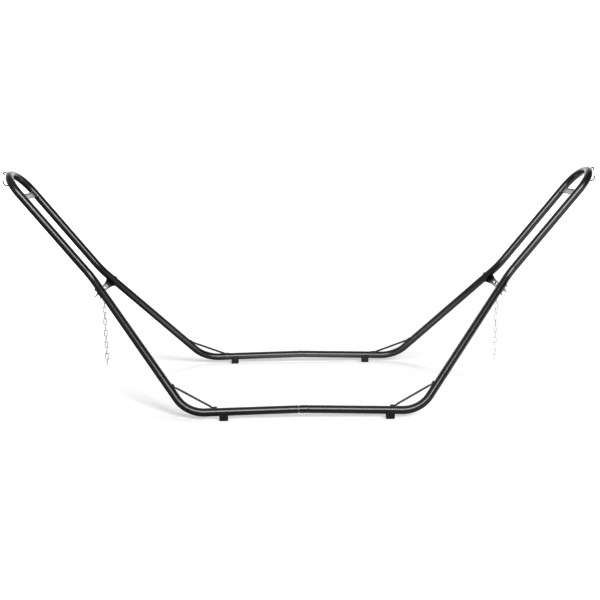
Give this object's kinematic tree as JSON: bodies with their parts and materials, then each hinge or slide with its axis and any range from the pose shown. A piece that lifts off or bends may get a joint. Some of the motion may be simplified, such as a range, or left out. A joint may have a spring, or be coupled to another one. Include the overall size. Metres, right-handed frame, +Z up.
{
  "type": "hammock stand",
  "caption": "Black tube hammock stand: two leaning end loops on splayed legs and long floor rails, with hanging chains and end hooks.",
  "frame": {"origin": "on the floor, below the middle of the stand", "axes": "+X along the floor rails to the right, +Y away from the viewer, +Z up"},
  "size_m": [3.0604, 1.0682, 1.1768],
  "materials": {
    "black_coat": "semi-gloss black powder coat",
    "zinc_plate": "dull bright zinc plate",
    "foot_rubber": "matte black moulded rubber"
  },
  "bodies": {
    "stand": {"loop_right": "black_coat", "cross_plate_right": "black_coat", "apex_hook_right": "black_coat", "bracket_right": "black_coat", "chain_eye_right": "zinc_plate", "chain_eye_nut_right": "zinc_plate", "leg_front_right": "black_coat", "rail_front_right": "black_coat", "brace_front_right": "black_coat", "foot_front_right": "foot_rubber", "bracket_bolt_front_right": "zinc_plate", "leg_back_right": "black_coat", "rail_back_right": "black_coat", "brace_back_right": "black_coat", "foot_back_right": "foot_rubber", "bracket_bolt_back_right": "zinc_plate", "loop_left": "black_coat", "cross_plate_left": "black_coat", "apex_hook_left": "black_coat", "bracket_left": "black_coat", "chain_eye_left": "zinc_plate", "chain_eye_nut_left": "zinc_plate", "leg_back_left": "black_coat", "rail_back_left": "black_coat", "brace_back_left": "black_coat", "foot_back_left": "foot_rubber", "bracket_bolt_back_left": "zinc_plate", "leg_front_left": "black_coat", "rail_front_left": "black_coat", "brace_front_left": "black_coat", "foot_front_left": "foot_rubber", "bracket_bolt_front_left": "zinc_plate", "coupler_front": "black_coat", "coupler_back": "black_coat"},
    "link_left_01": {"link_left_01": "zinc_plate"},
    "link_left_02": {"link_left_02": "zinc_plate"},
    "link_left_03": {"link_left_03": "zinc_plate"},
    "link_left_04": {"link_left_04": "zinc_plate"},
    "link_left_05": {"link_left_05": "zinc_plate"},
    "link_left_06": {"link_left_06": "zinc_plate"},
    "link_left_07": {"link_left_07": "zinc_plate"},
    "link_left_08": {"link_left_08": "zinc_plate"},
    "link_left_09": {"link_left_09": "zinc_plate"},
    "link_left_10": {"link_left_10": "zinc_plate"},
    "link_left_11": {"link_left_11": "zinc_plate"},
    "link_left_12": {"link_left_12": "zinc_plate"},
    "link_left_13": {"link_left_13": "zinc_plate"},
    "link_right_01": {"link_right_01": "zinc_plate"},
    "link_right_02": {"link_right_02": "zinc_plate"},
    "link_right_03": {"link_right_03": "zinc_plate"},
    "link_right_04": {"link_right_04": "zinc_plate"},
    "link_right_05": {"link_right_05": "zinc_plate"},
    "link_right_06": {"link_right_06": "zinc_plate"},
    "link_right_07": {"link_right_07": "zinc_plate"},
    "link_right_08": {"link_right_08": "zinc_plate"},
    "link_right_09": {"link_right_09": "zinc_plate"},
    "link_right_10": {"link_right_10": "zinc_plate"},
    "link_right_11": {"link_right_11": "zinc_plate"},
    "link_right_12": {"link_right_12": "zinc_plate"},
    "link_right_13": {"link_right_13": "zinc_plate"}
  },
  "joints": [
    {"name": "swing_left_01", "type": "hinge", "parent": "stand", "child": "link_left_01", "pos_m": [-1.04218, 0, 0.55042], "axis": [1, 0, 0], "range_deg": [-20, 20]},
    {"name": "swing_left_02", "type": "hinge", "parent": "link_left_01", "child": "link_left_02", "pos_m": [-1.04218, 0, 0.51897], "axis": [0, 1, 0], "range_deg": [-20, 20]},
    {"name": "swing_left_03", "type": "hinge", "parent": "link_left_02", "child": "link_left_03", "pos_m": [-1.04218, 0, 0.48727], "axis": [1, 0, 0], "range_deg": [-20, 20]},
    {"name": "swing_left_04", "type": "hinge", "parent": "link_left_03", "child": "link_left_04", "pos_m": [-1.04218, 0, 0.45557], "axis": [0, 1, 0], "range_deg": [-20, 20]},
    {"name": "swing_left_05", "type": "hinge", "parent": "link_left_04", "child": "link_left_05", "pos_m": [-1.04218, 0, 0.42387], "axis": [1, 0, 0], "range_deg": [-20, 20]},
    {"name": "swing_left_06", "type": "hinge", "parent": "link_left_05", "child": "link_left_06", "pos_m": [-1.04218, 0, 0.39217], "axis": [0, 1, 0], "range_deg": [-20, 20]},
    {"name": "swing_left_07", "type": "hinge", "parent": "link_left_06", "child": "link_left_07", "pos_m": [-1.04218, 0, 0.36047], "axis": [1, 0, 0], "range_deg": [-20, 20]},
    {"name": "swing_left_08", "type": "hinge", "parent": "link_left_07", "child": "link_left_08", "pos_m": [-1.04218, 0, 0.32877], "axis": [0, 1, 0], "range_deg": [-20, 20]},
    {"name": "swing_left_09", "type": "hinge", "parent": "link_left_08", "child": "link_left_09", "pos_m": [-1.04218, 0, 0.29707], "axis": [1, 0, 0], "range_deg": [-20, 20]},
    {"name": "swing_left_10", "type": "hinge", "parent": "link_left_09", "child": "link_left_10", "pos_m": [-1.04218, 0, 0.26537], "axis": [0, 1, 0], "range_deg": [-20, 20]},
    {"name": "swing_left_11", "type": "hinge", "parent": "link_left_10", "child": "link_left_11", "pos_m": [-1.04218, 0, 0.23367], "axis": [1, 0, 0], "range_deg": [-20, 20]},
    {"name": "swing_left_12", "type": "hinge", "parent": "link_left_11", "child": "link_left_12", "pos_m": [-1.04218, 0, 0.20197], "axis": [0, 1, 0], "range_deg": [-20, 20]},
    {"name": "swing_left_13", "type": "hinge", "parent": "link_left_12", "child": "link_left_13", "pos_m": [-1.04218, 0, 0.17027], "axis": [1, 0, 0], "range_deg": [-20, 20]},
    {"name": "swing_right_01", "type": "hinge", "parent": "stand", "child": "link_right_01", "pos_m": [1.04218, 0, 0.55042], "axis": [1, 0, 0], "range_deg": [-20, 20]},
    {"name": "swing_right_02", "type": "hinge", "parent": "link_right_01", "child": "link_right_02", "pos_m": [1.04218, 0, 0.51897], "axis": [0, 1, 0], "range_deg": [-20, 20]},
    {"name": "swing_right_03", "type": "hinge", "parent": "link_right_02", "child": "link_right_03", "pos_m": [1.04218, 0, 0.48727], "axis": [1, 0, 0], "range_deg": [-20, 20]},
    {"name": "swing_right_04", "type": "hinge", "parent": "link_right_03", "child": "link_right_04", "pos_m": [1.04218, 0, 0.45557], "axis": [0, 1, 0], "range_deg": [-20, 20]},
    {"name": "swing_right_05", "type": "hinge", "parent": "link_right_04", "child": "link_right_05", "pos_m": [1.04218, 0, 0.42387], "axis": [1, 0, 0], "range_deg": [-20, 20]},
    {"name": "swing_right_06", "type": "hinge", "parent": "link_right_05", "child": "link_right_06", "pos_m": [1.04218, 0, 0.39217], "axis": [0, 1, 0], "range_deg": [-20, 20]},
    {"name": "swing_right_07", "type": "hinge", "parent": "link_right_06", "child": "link_right_07", "pos_m": [1.04218, 0, 0.36047], "axis": [1, 0, 0], "range_deg": [-20, 20]},
    {"name": "swing_right_08", "type": "hinge", "parent": "link_right_07", "child": "link_right_08", "pos_m": [1.04218, 0, 0.32877], "axis": [0, 1, 0], "range_deg": [-20, 20]},
    {"name": "swing_right_09", "type": "hinge", "parent": "link_right_08", "child": "link_right_09", "pos_m": [1.04218, 0, 0.29707], "axis": [1, 0, 0], "range_deg": [-20, 20]},
    {"name": "swing_right_10", "type": "hinge", "parent": "link_right_09", "child": "link_right_10", "pos_m": [1.04218, 0, 0.26537], "axis": [0, 1, 0], "range_deg": [-20, 20]},
    {"name": "swing_right_11", "type": "hinge", "parent": "link_right_10", "child": "link_right_11", "pos_m": [1.04218, 0, 0.23367], "axis": [1, 0, 0], "range_deg": [-20, 20]},
    {"name": "swing_right_12", "type": "hinge", "parent": "link_right_11", "child": "link_right_12", "pos_m": [1.04218, 0, 0.20197], "axis": [0, 1, 0], "range_deg": [-20, 20]},
    {"name": "swing_right_13", "type": "hinge", "parent": "link_right_12", "child": "link_right_13", "pos_m": [1.04218, 0, 0.17027], "axis": [1, 0, 0], "range_deg": [-20, 20]}
  ]
}
